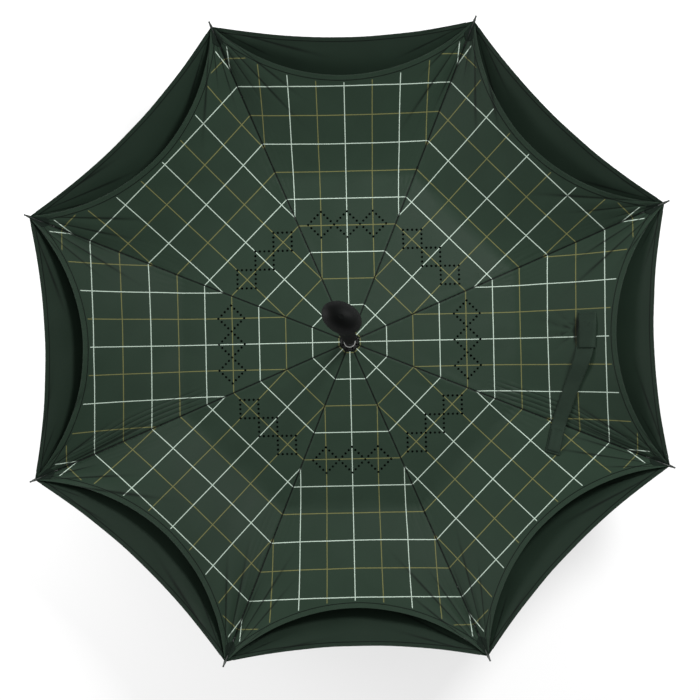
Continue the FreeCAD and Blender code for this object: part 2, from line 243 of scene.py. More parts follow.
def height(canopy, gore, x, y):
    """The cloth's height over a point of a gore's plan."""
    share = np.clip(np.abs(y) / (x * TAN), 0, 1)
    r = x / COS
    knee_z = KNEE_Z + canopy.lift
    slope_in = (knee_z - canopy.centre_z) / (KNEE_R - canopy.centre_r)
    inside = canopy.centre_z + slope_in * (r - canopy.centre_r)
    outside = rod_height(r) + canopy.lift * (1 - 0.7 * smooth(r, TIP_R - 70 * MM, TIP_R))
    z = np.where(r < KNEE_R, inside, outside)

    # rounded over the knees, and domed towards the middle of the hem
    reach = (5 + 10 * (1 - share ** 2)) * MM
    z += (math.tan(START) - slope_in) * np.maximum(reach - np.abs(r - KNEE_R), 0) ** 2 / (4 * reach)
    out = np.clip((x - KNEE_R * COS) / (canopy.hem_mid - KNEE_R * COS), 0, 1.3)
    z += canopy.belly * out ** 1.5 * (1 - share ** 2)
    return z + wrinkles(canopy, gore, x, y)


def guides(canopy, gore, x, y):
    """What the cloth's material has to know at a point: its distance from the edges, and its folds; from
    these it paints its print, its stitches, and shade in its grooves and folds.
    """
    tip_turn, tip_depth, long_turn, long_depth = pleats(canopy, gore, x, y)
    tugged = canopy.printed and gore == STRAP_GORE
    return {"hem": canopy.hem_distance(x, y), "seam": canopy.seam_distance(x, y),
            "tip_turn": tip_turn, "tip_depth": tip_depth, "long_turn": long_turn, "long_depth": long_depth,
            # tug_shade: how deep the strap's folds are, used only to paint shade into them
            "tug_shade": np.clip(-tab_folds(x, y) / (1.6 * MM), 0, 1) if tugged else np.zeros_like(x)}


def cloth_place(canopy, x, y):
    """Where a point of the plan lies on the printed cloth: across the gore, and along it."""
    r = x / COS
    rise = (KNEE_Z + canopy.lift - canopy.centre_z) / (KNEE_R - canopy.centre_r)
    angle = np.arcsin(np.clip((np.maximum(r, KNEE_R) - KNEE_R) / BOW_R + math.sin(START), -0.99, 0.99))
    length = np.minimum(r, KNEE_R) * COS * math.hypot(1, rise / COS) + BOW_R * (angle - START) * ROD_SHARE
    share = np.clip(np.abs(y) / (x * TAN), 0, 1)
    drawn = length - RADIAL_DRAW * length ** 2
    out = np.clip((x - KNEE_R * COS) / (canopy.hem_mid - KNEE_R * COS), 0, 1)
    drawn -= RING_LEAN * share ** 2 * out
    (near, near_reach, near_rise), (far, far_reach, far_rise) = FLARE_INSIDE, FLARE_OUTSIDE
    flare = 1 + near_rise * np.clip((x - near) / near_reach, 0, 1)
    flare += far_rise * np.clip((x - far) / far_reach, 0, 1.5) ** 2
    return y / flare, drawn


def ring_x(number):
    """The x of a printed ring, inside the knees."""
    place = RING_FIRST + number * RING_PITCH
    return (1 - math.sqrt(1 - 4 * RADIAL_DRAW * place)) / (2 * RADIAL_DRAW)


# ---- one half of a gore, as a flat net of triangles --------------------------------------
def dot_places():
    """Centres of the perforations in the half of a gore with y >= 0."""
    middle, reach = ring_x(DIAMOND_RING), PITCH / 2
    found = set()
    for number in (-1, 0, 1):
        corners = [(reach, 0), (0, reach), (-reach, 0), (0, -reach)]
        for (ax, ay), (bx, by) in zip(corners, corners[1:] + corners[:1]):
            for i in range(DOTS_A_SIDE):
                t = i / DOTS_A_SIDE
                place = (middle + ax + (bx - ax) * t, number * PITCH + ay + (by - ay) * t)
                if place[1] > -1e-6:
                    found.add((round(place[0], 6), round(max(place[1], 0), 6)))
    return sorted(found)


class Net:
    """Collects points that keep a distance from each other, and the edges between them."""

    def __init__(self):
        self.points, self.edges, self.grid = [], [], {}

    def cell(self, point):
        return int(point[0] // (8 * MM)), int(point[1] // (8 * MM))

    def near(self, point, gap):
        i, j = self.cell(point)
        for a in (i - 1, i, i + 1):
            for b in (j - 1, j, j + 1):
                for k in self.grid.get((a, b), ()):
                    other = self.points[k]
                    if math.hypot(point[0] - other[0], point[1] - other[1]) < gap:
                        return k
        return None

    def add(self, point, gap=1e-7):
        found = self.near(point, gap)
        if found is None:
            found = len(self.points)
            self.points.append((float(point[0]), float(point[1])))
            self.grid.setdefault(self.cell(point), []).append(found)
        return found

    def line(self, points):
        numbers = [self.add(p) for p in points]
        self.edges += [(a, b) for a, b in zip(numbers, numbers[1:]) if a != b]


def span(start, end, step):
    count = max(2, round(math.dist(start, end) / step) + 1)
    return [tuple(p) for p in np.linspace(start, end, count)]


def half_gore(canopy, dots):
    """Points, triangles, and the points along the hem from its middle to the tip."""
    net = Net()
    start_x = canopy.centre_r * COS

    def inside_dot(x, y, more):
        return any(math.hypot(x - a, y - b) < DOT_R + more for a, b in dots)

    # the outline
    middle = [p for p in span((start_x, 0), (canopy.hem_mid, 0), canopy.step) if not inside_dot(*p, 0.6 * MM)]
    for a, b in dots:
        if b == 0:
            middle += [(a - DOT_R, 0), (a + DOT_R, 0)]
    crossing = KNEE_R / COS
    middle.append((crossing, 0))
    net.line(sorted(middle))
    net.line(span((start_x, 0), (start_x, start_x * TAN), 2 * MM))
    net.line(span((start_x, start_x * TAN), (KNEE_R * COS, KNEE_R * SIN), canopy.step)
             + span((KNEE_R * COS, KNEE_R * SIN), CORNER, canopy.step)[1:])
    sweep = math.asin(CORNER[1] / canopy.hem_r)
    count = round(canopy.hem_r * sweep / canopy.step)

    def beside_hem(i, off=0.0):
        r, angle = canopy.hem_r + off, sweep * i / count
        return canopy.hem_x - r * math.cos(angle), r * math.sin(angle)

    hem = [beside_hem(i) for i in range(count)] + [CORNER]
    net.line(hem)
    net.line(span((KNEE_R * COS, KNEE_R * SIN), (crossing, 0), canopy.step))
    for a, b in dots:
        angles = [math.pi * i / 6 for i in range(7 if b == 0 else 13)]
        net.line([(a + DOT_R * math.cos(angle), b + DOT_R * math.sin(angle)) for angle in angles])

    # rows beside the seam, the hem and the fold at the knees
    def fits(x, y, gap=0.8 * MM):
        return (y > gap and canopy.seam_distance(x, y) > gap * 0.9 and canopy.hem_distance(x, y) > gap * 0.9
                and x > start_x + gap and not inside_dot(x, y, gap))

    for off in (1.1 * MM, 2.4 * MM, 5 * MM):
        for along in np.arange(canopy.centre_r, TIP_R, canopy.step * 0.8):
            x, y = along * COS + off * SIN, along * SIN - off * COS
            if fits(x, y):
                net.add((x, y), 0.9 * MM)
    for along in np.arange(KNEE_R - 60 * MM, TIP_R, 3 * MM):
        for off in np.arange(7 * MM, 40 * MM, 1.6 * MM if canopy.printed else 3 * MM):
            off *= narrowing(along)
            x, y = along * COS + off * SIN, along * SIN - off * COS
            if fits(x, y):
                net.add((x, y), 1.2 * MM)
    for off in (canopy.hem_width - 0.5 * MM, canopy.hem_width + 1 * MM):
        for i in range(count + 1):
            x, y = beside_hem(i, off)
            if fits(x, y):
                net.add((x, y), 0.9 * MM)
    for off in (-9, -4.5, 0, 4.5, 9):
        x = KNEE_R * COS + off * MM
        for y in np.arange(0, x * TAN, canopy.step):
            if fits(x, y):
                net.add((x, y), 2 * MM)

    # the open cloth
    row = canopy.step * math.sqrt(3) / 2
    for i, x in enumerate(np.arange(start_x + row, CORNER[0], row)):
        for y in np.arange(canopy.step * (0.5 if i % 2 else 1.0), x * TAN, canopy.step):
            if fits(x, y):
                net.add((x, y), canopy.step * 0.62)

    scaled = [Vector((x / MM, y / MM)) for x, y in net.points]
    points, _, faces, *_ = delaunay_2d_cdt(scaled, net.edges, [], 0, 1e-5)
    points = np.array([tuple(p) for p in points]) * MM
    faces = np.array([list(face) for face in faces])
    centres = points[faces].mean(axis=1)
    x, y = centres[:, 0], centres[:, 1]
    keep = (canopy.hem_distance(x, y) > 0) & (canopy.seam_distance(x, y) > 0) & (x > start_x) & (y > 0)
    for a, b in dots:
        keep &= np.hypot(x - a, y - b) > DOT_R * 0.99
    faces = faces[keep]
    used, faces = np.unique(faces, return_inverse=True)
    points, faces = points[used], faces.reshape(-1, 3)
    a, b, c = (points[faces[:, i]] for i in range(3))
    turned = np.cross(b - a, c - a) < 0
    faces[turned] = faces[turned][:, ::-1]
    hem_numbers = [int(np.argmin(np.hypot(*(points - np.array(p)).T))) for p in hem]
    return points, faces, hem_numbers


def folded_hem(canopy, points, hem_numbers):
    """The strip that turns under along the hem: plan points, drops, and triangles."""
    rows = ((-0.4 * MM, -0.35 * MM), (0.1 * MM, -0.9 * MM), (canopy.hem_width - 0.6 * MM, -0.8 * MM))
    numbers = hem_numbers[:-2]
    edge = points[numbers]
    inward = edge - np.array((canopy.hem_x, 0))
    inward /= np.linalg.norm(inward, axis=1)[:, None]
    inward[0] = (-1, 0)
    new, drops, layers, faces = [], [], [], []
    before = list(numbers)
    for layer, (shift, drop) in enumerate(rows):
        first = len(points) + len(new)
        new += list(edge + inward * shift)
        drops += [drop] * len(numbers)
        layers += [layer + 1] * len(numbers)
        after = list(range(first, first + len(numbers)))
        for i in range(len(numbers) - 1):
            faces += [(before[i], after[i], before[i + 1]), (before[i + 1], after[i], after[i + 1])]
        before = after
    return np.array(new), np.array(drops), np.array(layers), np.array(faces)


class Surface:
    """A whole canopy as one continuous sheet, before it is cut into the pieces that fold."""

    def __init__(self, canopy, dots=()):
        points, faces, hem_numbers = half_gore(canopy, dots)
        extra, drops, layers, strip = folded_hem(canopy, points, hem_numbers)
        drop = np.concatenate([np.zeros(len(points)), drops])
        layer = np.concatenate([np.zeros(len(points), int), layers])
        points, faces = np.concatenate([points, extra]), np.concatenate([faces, strip])
        centres = points[faces].mean(axis=1)
        outboard = centres[:, 0] * COS + centres[:, 1] * SIN > KNEE_R
        keys, places, uvs, tris, marks, told = [], [], [], [], [], []
        for gore in range(GORES):
            turn = 2 * math.pi * gore / GORES
            for side in (1, -1):
                x, y = points[:, 0], points[:, 1] * side
                z = height(canopy, gore, x, y + side * 1e-12) + drop
                gx, gy = x * math.cos(turn) - y * math.sin(turn), x * math.sin(turn) + y * math.cos(turn)
                keys.append(np.stack([np.round(gx * 1e6), np.round(gy * 1e6), layer], 1).astype(int))
                tris.append(faces[:, ::side] + len(places) * len(points))
                places.append(np.stack([gx, gy, z], 1))
                uvs.append(np.stack(cloth_place(canopy, x, y), 1))
                told.append(guides(canopy, gore, x, y + side * 1e-12))
                rib = gore if side == 1 else (gore - 1) % GORES
                marks.append(np.stack([np.full(len(faces), rib), outboard.astype(int)], 1))
        self.canopy = canopy
        raw = np.concatenate(tris)
        _, first, same = np.unique(np.concatenate(keys), axis=0, return_index=True, return_inverse=True)
        self.places = np.concatenate(places)[first]
        self.guides = {label: np.concatenate([each[label] for each in told])[first] for label in told[0]}
        self.corner_uv = np.concatenate(uvs)[raw]
        self.faces = same.ravel()[raw]
        self.marks = np.concatenate(marks)
        a, b, c = (self.places[self.faces[:, i]] for i in range(3))
        across = np.cross(b - a, c - a)
        self.areas = np.linalg.norm(across, axis=1) / 2
        self.normals = np.zeros_like(self.places)
        for i in range(3):
            np.add.at(self.normals, self.faces[:, i], across)
        self.normals /= np.linalg.norm(self.normals, axis=1)[:, None] + 1e-20

    def piece(self, rib, outboard):
        """One piece of the sheet: the cloth on both sides of a rib, inside or outside its knee."""
        mine = (self.marks[:, 0] == rib) & (self.marks[:, 1] == outboard)
        used, faces = np.unique(self.faces[mine], return_inverse=True)
        faces = faces.reshape(-1, 3)
        zone = "outboard" if outboard else "inboard"
        name = f"{self.canopy.name}_{zone}_{rib + 1}"
        made = mesh_object(name, self.places[used], faces)
        layer = made.data.uv_layers.new(name="cloth")
        layer.data.foreach_set("uv", self.corner_uv[mine].ravel())
        for label, values in self.guides.items():
            attribute = made.data.attributes.new(label, "FLOAT", "POINT")
            attribute.data.foreach_set("value", values[used].astype(np.float32))
        made.data.normals_split_custom_set_from_vertices([tuple(n) for n in self.normals[used]])
        return made, self.areas[mine].sum()


def mesh_object(name, places, faces):
    mesh = bpy.data.meshes.new(name)
    mesh.from_pydata([tuple(p) for p in places], [], [tuple(int(i) for i in face) for face in faces])
    mesh.polygons.foreach_set("use_smooth", [True] * len(mesh.polygons))
    mesh.update()
    made = bpy.data.objects.new(name, mesh)
    bpy.context.scene.collection.objects.link(made)
    return made


# ---- materials ---------------------------------------------------------------------------
class Paint:
    """Builds one procedural material, node by node."""

    def __init__(self, name, roughness=0.5, specular=0.5, metallic=0.0):
        self.material = bpy.data.materials.new(name)
        self.material.use_nodes = True
        self.tree = self.material.node_tree
        self.shader = self.tree.nodes["Principled BSDF"]
        self.set("Roughness", roughness)
        self.set("Specular IOR Level", specular)
        self.set("Metallic", metallic)

    def plug(self, socket, value):
        if isinstance(value, bpy.types.NodeSocket):
            self.tree.links.new(value, socket)
        else:
            socket.default_value = value

    def set(self, name, value):
        self.plug(self.shader.inputs[name], value)

    def node(self, kind, inputs=None, **settings):
        made = self.tree.nodes.new(kind)
        for key, value in settings.items():
            setattr(made, key, value)
        for key, value in (inputs or {}).items():
            self.plug(made.inputs[key], value)
        return made

    def math(self, operation, a, b=0.0, c=0.0):
        return self.node("ShaderNodeMath", {0: a, 1: b, 2: c}, operation=operation).outputs[0]

    def ramp(self, value, low, high, start=0.0, end=1.0):
        """A smooth step from start to end as a value goes from low to high."""
        made = self.node("ShaderNodeMapRange", interpolation_type="SMOOTHSTEP")
        for i, given in enumerate((value, low, high, start, end)):
            self.plug(made.inputs[i], given)
        return made.outputs[0]

    def line(self, distance, half, soft):
        """1 on a line of that half width, 0 beside it."""
        return self.ramp(distance, half - soft, half + soft, 1.0, 0.0)

    def row(self, value, at, half, soft):
        """1 where the value is within half a width of a given one, 0 elsewhere."""
        return self.line(self.math("ABSOLUTE", self.math("SUBTRACT", value, at)), half, soft)

    def grid(self, value, pitch, half, soft=0.3 * MM, shift=0.0):
        """1 on lines two pitches apart, 0 between them."""
        return self.line(self.math("PINGPONG", self.math("ADD", value, shift), pitch), half, soft)

    def mix(self, share, a, b, blend="MIX"):
        made = self.node("ShaderNodeMix", data_type="RGBA", blend_type=blend)
        for i, given in ((0, share), (6, a), (7, b)):
            self.plug(made.inputs[i], given if not isinstance(given, tuple) else (*given, 1))
        return made.outputs[2]

    def noise(self, scale, detail=3.0, vector=None, **inputs):
        given = {"Scale": scale, "Detail": detail, **inputs}
        if vector is not None:
            given["Vector"] = vector
        return self.node("ShaderNodeTexNoise", given).outputs[0]

    def scaled(self, vector, scale):
        return self.node("ShaderNodeMapping", {"Vector": vector, "Scale": scale}).outputs[0]

    def attribute(self, name):
        return self.node("ShaderNodeAttribute", attribute_name=name).outputs["Fac"]

    def cloth_place(self):
        """Where a point lies on the flat cloth: the vector, its distance across, and along."""
        place = self.node("ShaderNodeUVMap", uv_map="cloth").outputs[0]
        axes = self.node("ShaderNodeSeparateXYZ", {0: place}).outputs
        return place, axes[0], axes[1]

    def object_place(self):
        return self.node("ShaderNodeTexCoord").outputs["Object"]

    def bump(self, height, strength, distance):
        made = self.node("ShaderNodeBump", {"Height": height, "Strength": strength, "Distance": distance})
        self.set("Normal", made.outputs[0])


CLOTH = (0.0108, 0.0203, 0.0131)
OUTER_CLOTH = (0.0072, 0.0138, 0.0090)
WHITE_LINE = (0.28, 0.34, 0.29)
TAN_LINE = (0.088, 0.088, 0.032)
# painted shade: the dark colour given to cloth deep in a seam or a fold, where shade falls
PAINTED_CREASE_SHADE = (0.0012, 0.0022, 0.0016)            # cloth deep in a seam or a fold


def times(colour, factor):
    return tuple(factor * part for part in colour)


def cloth_paint(name, colour, printed, canopy):
    """Fine plain-woven cloth, with its seams and stitches, painted shade in its seam grooves, hem grooves and
    fold valleys, and a printed plaid on the inner canopy.
    """
    p = Paint(name, roughness=0.6, specular=0.06)
    place, u, v = p.cloth_place()
    hem, seam = p.attribute("hem"), p.attribute("seam")

    # the weave: threads over and under each other, some of them thicker
    thread = 0.34 * MM
    weave = p.math("MULTIPLY", p.math("SINE", p.math("MULTIPLY", u, math.pi / thread)),
                   p.math("SINE", p.math("MULTIPLY", v, math.pi / thread)))
    slub = p.noise(1.0, 2.0, p.scaled(place, (40, 900, 1)))
    cloud = p.noise(22.0, 4.0, place)
    shade = p.math("ADD", 0.86, p.math("ADD", p.math("MULTIPLY", slub, 0.08), p.math("MULTIPLY", cloud, 0.2)))
    shade = p.math("ADD", shade, p.math("MULTIPLY", weave, 0.03))
    base = colour

    if printed:
        ring = p.math("SUBTRACT", v, RING_FIRST)
        grain = p.ramp(p.noise(1.0, 1.0, p.scaled(place, (1500, 1500, 1))), 0.2, 0.4, 0.8, 1.0)
        inked = p.math("MULTIPLY", p.ramp(hem, 8.5 * MM, 9.5 * MM), grain)
        tan = p.math("MAXIMUM", p.grid(u, PITCH, 0.65 * MM, shift=PITCH), p.grid(ring, RING_PITCH, 0.65 * MM))
        white = p.math("MAXIMUM", p.grid(u, PITCH, 0.64 * MM),
                       p.grid(ring, RING_PITCH, 0.64 * MM, shift=RING_PITCH))
        base = p.mix(p.math("MULTIPLY", tan, inked), base, TAN_LINE)
        base = p.mix(p.math("MULTIPLY", white, inked), base, WHITE_LINE)

    # painted shade in the grooves at the seams and inside the hems
    groove = p.math("MAXIMUM", p.line(seam, 1.15 * MM, 0.5 * MM),
                    p.row(hem, canopy.hem_width + 0.4 * MM, 0.5 * MM, 0.4 * MM))
    base = p.mix(p.math("MULTIPLY", groove, 0.95), base, PAINTED_CREASE_SHADE)

    # painted shade in the valleys of deep folds, and in those that the strap pulls up
    for kind, full in (("tip", 0.7 * MM), ("long", 0.6 * MM)):
        valley = p.line(p.math("ABSOLUTE", p.math("SINE", p.attribute(f"{kind}_turn"))), 0.18, 0.26)
        deep = p.ramp(p.attribute(f"{kind}_depth"), 0.05 * MM, full, 0.0, 0.9)
        base = p.mix(p.math("MULTIPLY", valley, deep), base, PAINTED_CREASE_SHADE)
    base = p.mix(p.ramp(p.attribute("tug_shade"), 0.1, 0.9, 0.0, 0.8), base, PAINTED_CREASE_SHADE)

    # rows of stitches
    stitch_u, stitch_v = (p.grid(axis, 1.5 * MM, 0.95 * MM, 0.2 * MM) for axis in (u, v))
    seam_row = p.math("MULTIPLY", p.row(seam, 3 * MM, 0.28 * MM, 0.1 * MM), stitch_v)
    hem_rows = p.math("MAXIMUM", p.row(hem, 1.3 * MM, 0.28 * MM, 0.1 * MM),
                      p.row(hem, canopy.hem_width - 1 * MM, 0.28 * MM, 0.1 * MM))
    sewn = p.math("MAXIMUM", seam_row, p.math("MULTIPLY", hem_rows, stitch_u))
    base = p.mix(p.math("MULTIPLY", sewn, 0.6), base, times(colour, 1.5))

    grey = p.node("ShaderNodeCombineColor", {0: shade, 1: shade, 2: shade}).outputs[0]
    p.set("Base Color", p.mix(1.0, base, grey, "MULTIPLY"))
    p.set("Roughness", p.math("ADD", 0.5, p.math("MULTIPLY", cloud, 0.14)))
    p.set("Sheen Weight", 0.04)
    p.set("Sheen Roughness", 0.4)
    p.bump(p.math("ADD", p.math("MULTIPLY", weave, 0.12), sewn), 0.35, 0.15 * MM)
    return p.material


def moulded_paint(name, colour, roughness, grain=900.0, specular=0.5):
    """Moulded plastic or soft rubber: a fine grain, and a sheen that hands have made uneven."""
    p = Paint(name, specular=specular)
    place = p.object_place()
    cloud = p.noise(35.0, 4.0, place)
    fine = p.noise(grain, 2.0, place)
    p.set("Base Color", p.mix(cloud, times(colour, 0.85), times(colour, 1.2)))
    p.set("Roughness", p.math("ADD", roughness - 0.07, p.math("MULTIPLY", cloud, 0.16)))
    p.bump(fine, 0.25, 0.08 * MM)
    return p.material


def metal_paint(name, colour, roughness, stretch, metallic=1.0):
    """Drawn or brushed metal, with fine lines along one axis and a few worn places."""
    p = Paint(name, metallic=metallic)
    place = p.object_place()
    lines = p.noise(1.0, 3.0, p.scaled(place, stretch))
    cloud = p.noise(60.0, 3.0, place)
    p.set("Base Color", p.mix(lines, times(colour, 0.8), times(colour, 1.15)))
    p.set("Roughness", p.math("ADD", roughness - 0.05, p.math("MULTIPLY", cloud, 0.15)))
    p.bump(lines, 0.12, 0.05 * MM)
    return p.material


def webbing_paint(name, colour):
    """The strap's heavier cloth: ribs across it, and a soft sheen."""
    p = Paint(name, roughness=0.65, specular=0.05)
    place, _, along = p.cloth_place()
    ribs = p.math("SINE", p.math("MULTIPLY", along, 2 * math.pi / (0.9 * MM)))
    cloud = p.noise(60.0, 4.0, place)
    p.set("Base Color", p.mix(cloud, times(colour, 0.8), times(colour, 1.2)))
    p.bump(p.math("ADD", p.math("MULTIPLY", ribs, 0.5), cloud), 0.3, 0.15 * MM)
    p.set("Sheen Weight", 0.02)
    return p.material


PAINTS = {
    "shaft_paint": metal_paint("satin_black_shaft", (0.014, 0.015, 0.015), 0.3, (900, 900, 12), 0.3),
    "rib_steel": metal_paint("blackened_steel", (0.03, 0.03, 0.03), 0.4, (300, 300, 300), 0.7),
    "rod_fibre": metal_paint("black_fibre_rod", (0.012, 0.013, 0.013), 0.42, (500, 500, 500), 0.0),
    "black_plastic": moulded_paint("black_moulded_plastic", (0.0034, 0.0037, 0.0036), 0.4, specular=0.2),
    "tip_metal": metal_paint("dark_tip_metal", (0.022, 0.026, 0.023), 0.35, (500, 500, 500), 0.6),
    "rivet_steel": metal_paint("bright_rivet_steel", (0.55, 0.55, 0.54), 0.28, (900, 900, 900)),
    "spring_steel": metal_paint("spring_steel", (0.45, 0.45, 0.44), 0.3, (900, 900, 60)),
    "grip_rubber": moulded_paint("soft_touch_rubber", (0.0015, 0.0018, 0.0017), 0.62, 1400.0, 0.04),
    "inner_cloth": cloth_paint("printed_plaid_cloth", CLOTH, True, INNER),
    "outer_cloth": cloth_paint("plain_green_cloth", OUTER_CLOTH, False, OUTER),
    "strap_cloth": webbing_paint("strap_webbing", (0.0098, 0.0172, 0.0118)),
}
PATCH = webbing_paint("corner_patch_cloth", (0.0042, 0.0080, 0.0055))
THREAD = webbing_paint("dark_thread", (0.0105, 0.0170, 0.0123))


def paint(made, name):
    """Gives a piece the paint of a slot of the record."""
    made.data.materials.clear()
    made.data.materials.append(PAINTS[name])


def finish_cad_nodes():
    slots = {part["node"]: part["material_slot"] for part in frame["record"]["subparts"]}
    for name, node in frame["nodes"].items():
        for slot in node.material_slots:
            slot.material = PAINTS[slots[name]]


# ---- the canopies ------------------------------------------------------------------------
def rib_angle(rib):
    return HALF * (2 * rib + 1)


def fold_flat(made):
    """Gives the piece a mesh of its own."""
    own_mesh(made)


def make_canopies():
    for canopy, slot, dots in ((INNER, "inner_cloth", dot_places()), (OUTER, "outer_cloth", ())):
        surface = Surface(canopy, dots)
        for rib in range(GORES):
            for outboard in (0, 1):
                made, area = surface.piece(rib, outboard)
                paint(made, slot)
                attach(made, f"{canopy.bodies[outboard]}_{rib + 1}")
                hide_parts(canopy.name)
                if outboard:
                    flat = (2 * canopy.hem_mid * SIN, BOW_R * 2 * ROD_BEND)
                else:
                    flat = (2 * KNEE_R * TAN, KNEE_R - canopy.centre_r)
                area = min(area, flat[0] * flat[1])
                fold_flat(made)


# ---- the strap ---------------------------------------------------------------------------
def cloth_at(x, y):
    """Height of the inner canopy over points given in the part's own frame."""
    made = np.zeros(x.shape)
    gores = np.round(np.arctan2(y, x) / (2 * HALF)).astype(int) % GORES
    for gore in np.unique(gores):
        turn, here = 2 * HALF * gore, gores == gore
        across = y[here] * math.cos(turn) - x[here] * math.sin(turn)
        made[here] = height(INNER, gore, x[here] * math.cos(turn) + y[here] * math.sin(turn), across + 1e-12)
    return made


def around(values, along, across):
    """For each place, the values up to so many rows and columns away."""
    padded = np.pad(values, ((along, along), (across, across)), mode="edge")
    n, m = values.shape
    return np.stack([padded[i:i + n, j:j + m]
                     for i in range(2 * along + 1) for j in range(2 * across + 1)])


def walk(corners, step):
    """Points an equal step apart along a smooth path through the corners."""
    corners = np.array(corners)
    dense = np.concatenate([np.linspace(a, b, 200, endpoint=False) for a, b in zip(corners, corners[1:])])
    dense = np.concatenate([dense, corners[-1:]])
    reach = 30
    padded = np.pad(dense, ((reach, reach), (0, 0)), mode="reflect", reflect_type="odd")
    kernel = np.ones(2 * reach + 1) / (2 * reach + 1)
    eased = np.stack([np.convolve(padded[:, i], kernel, "valid") for i in (0, 1)], 1)
    lengths = np.concatenate([[0], np.cumsum(np.hypot(*np.diff(eased, axis=0).T))])
    places = np.linspace(0, lengths[-1], max(2, round(lengths[-1] / step) + 1))
    return np.stack([np.interp(places, lengths, eased[:, i]) for i in (0, 1)], 1), places


def place_on_cloth(made, uv):
    """Tells a mesh where each of its points lies on the flat cloth."""
    layer = made.data.uv_layers.new(name="cloth")
    numbers = np.zeros(len(made.data.loops), int)
    made.data.loops.foreach_get("vertex_index", numbers)
    layer.data.foreach_set("uv", uv[numbers].ravel())


class Ribbon:
    """A closed strip of cloth that lies over the canopy along a path, or over another strip.

    The half width and the lift above what lies below are functions of the distance along the strip.
    """

    def __init__(self, name, corners, half_width, thick, lift, rim=0.0, under=None, rows=15):
        self.path, self.places = walk(corners, 2 * MM)
        tangent = np.gradient(self.path, axis=0)
        tangent /= np.hypot(*tangent.T)[:, None]
        self.side = np.stack([-tangent[:, 1], tangent[:, 0]], 1)
        self.half = half_width(self.places)
        self.share = np.linspace(-1, 1, rows)
        x, y = self.spots(self.share)
        base = cloth_at(x, y)
        if under is not None:
            base = np.maximum(base, under.top_at(x, y))
        bridged = around(around(base, 3, 1).max(axis=0), 3, 1).mean(axis=0)
        base = np.maximum(bridged, base + 0.15 * MM) + lift(self.places)[:, None]
        edge = np.sqrt(np.clip(1 - np.abs(self.share) ** 10, 0, 1))
        ends = np.sqrt(np.clip(1 - np.abs(np.linspace(-1, 1, len(x))) ** 60, 0, 1))[:, None]
        top = base + (0.25 + 0.75 * edge * ends) * thick
        top += rim * np.exp(-((np.abs(self.share) - 0.86) / 0.07) ** 2)
        self.top = np.stack([x, y, top], 2)
        low = np.stack([x, y, base], 2)[:, ::-1]
        loops = np.concatenate([self.top, low], 1)
        n, m = loops.shape[:2]
        faces = [(i * m + j, i * m + (j + 1) % m, (i + 1) * m + (j + 1) % m, (i + 1) * m + j)
                 for i in range(n - 1) for j in range(m)]
        for j in range(rows - 1):
            faces.append((j + 1, j, m - 1 - j, m - 2 - j))
            last = (n - 1) * m
            faces.append((last + j, last + j + 1, last + m - 2 - j, last + m - 1 - j))
        self.made = mesh_object(name, loops.reshape(-1, 3), faces)
        uv = np.zeros((n, m, 2))
        uv[:, :rows, 0] = self.half[:, None] * self.share
        uv[:, rows:, 0] = -self.half[:, None] * self.share + 100 * MM       # the underside, beside it
        uv[:, :, 1] = self.places[:, None]
        place_on_cloth(self.made, uv.reshape(-1, 2))
        self.flat = (2 * float(self.half.max()), float(self.places[-1]))

    def spots(self, share):
        """Plan places at shares of the strip's half width, all along it."""
        offset = self.half[:, None] * share
        return self.path[:, :1] + self.side[:, :1] * offset, self.path[:, 1:] + self.side[:, 1:] * offset

    def top_at(self, x, y):
        """Height of the strip's upper side over points, and far down beside the strip."""
        places = self.top.reshape(-1, 3)
        gap = np.hypot(x[..., None] - places[:, 0], y[..., None] - places[:, 1])
        nearest = gap.argmin(axis=-1)
        return np.where(gap.min(axis=-1) < 2.2 * MM, places[nearest, 2], -1.0)

    def line(self, low, high, share):
        """Points on the upper side, along the strip at one share of its width."""
        kept = self.top[(self.places >= low) & (self.places <= high)]
        return np.stack([[np.interp(share, self.share, row[:, i]) for i in range(3)] for row in kept])

    def cross(self, place):
        """Points on the upper side, across the strip."""
        return self.top[int(np.argmin(np.abs(self.places - place)))][2:-2]


def stitches(name, runs, radius=0.24 * MM, long=2.3 * MM, pitch=3.2 * MM):
    """A row of thread stitches along each run of points: spindles with four sides."""
    places, faces = [], []
    for run in runs:
        run = np.asarray(run)
        lengths = np.concatenate([[0], np.cumsum(np.linalg.norm(np.diff(run, axis=0), axis=1))])
        for start in np.arange(0.4 * MM, lengths[-1] - long, pitch):
            a, middle, b = (np.array([np.interp(s, lengths, run[:, i]) for i in range(3)])
                            for s in (start, start + long / 2, start + long))
            way = (b - a) / np.linalg.norm(b - a)
            side = np.cross(way, (0, 0, 1))
            side *= radius / np.linalg.norm(side)
            up = np.cross(side, way)
            first = len(places)
            places += [a, b]
            for shift in (-0.3, 0.3):
                centre = middle + way * shift * long
                places += [centre + side, centre + up, centre - side, centre - up]
            for i in range(4):
                j = (i + 1) % 4
                faces += [(first, first + 2 + j, first + 2 + i), (first + 1, first + 6 + i, first + 6 + j),
                          (first + 2 + i, first + 2 + j, first + 6 + j, first + 6 + i)]
    return mesh_object(name, places, faces)


def lay(made, slot, node, flat=None, rib=STRAP_RIB):
    """A piece that lies on the cloth outside the knee, and folds with it."""
    paint(made, slot)
    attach(made, f"rib_outer_{rib + 1}")
    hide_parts(node)
    fold_flat(made)


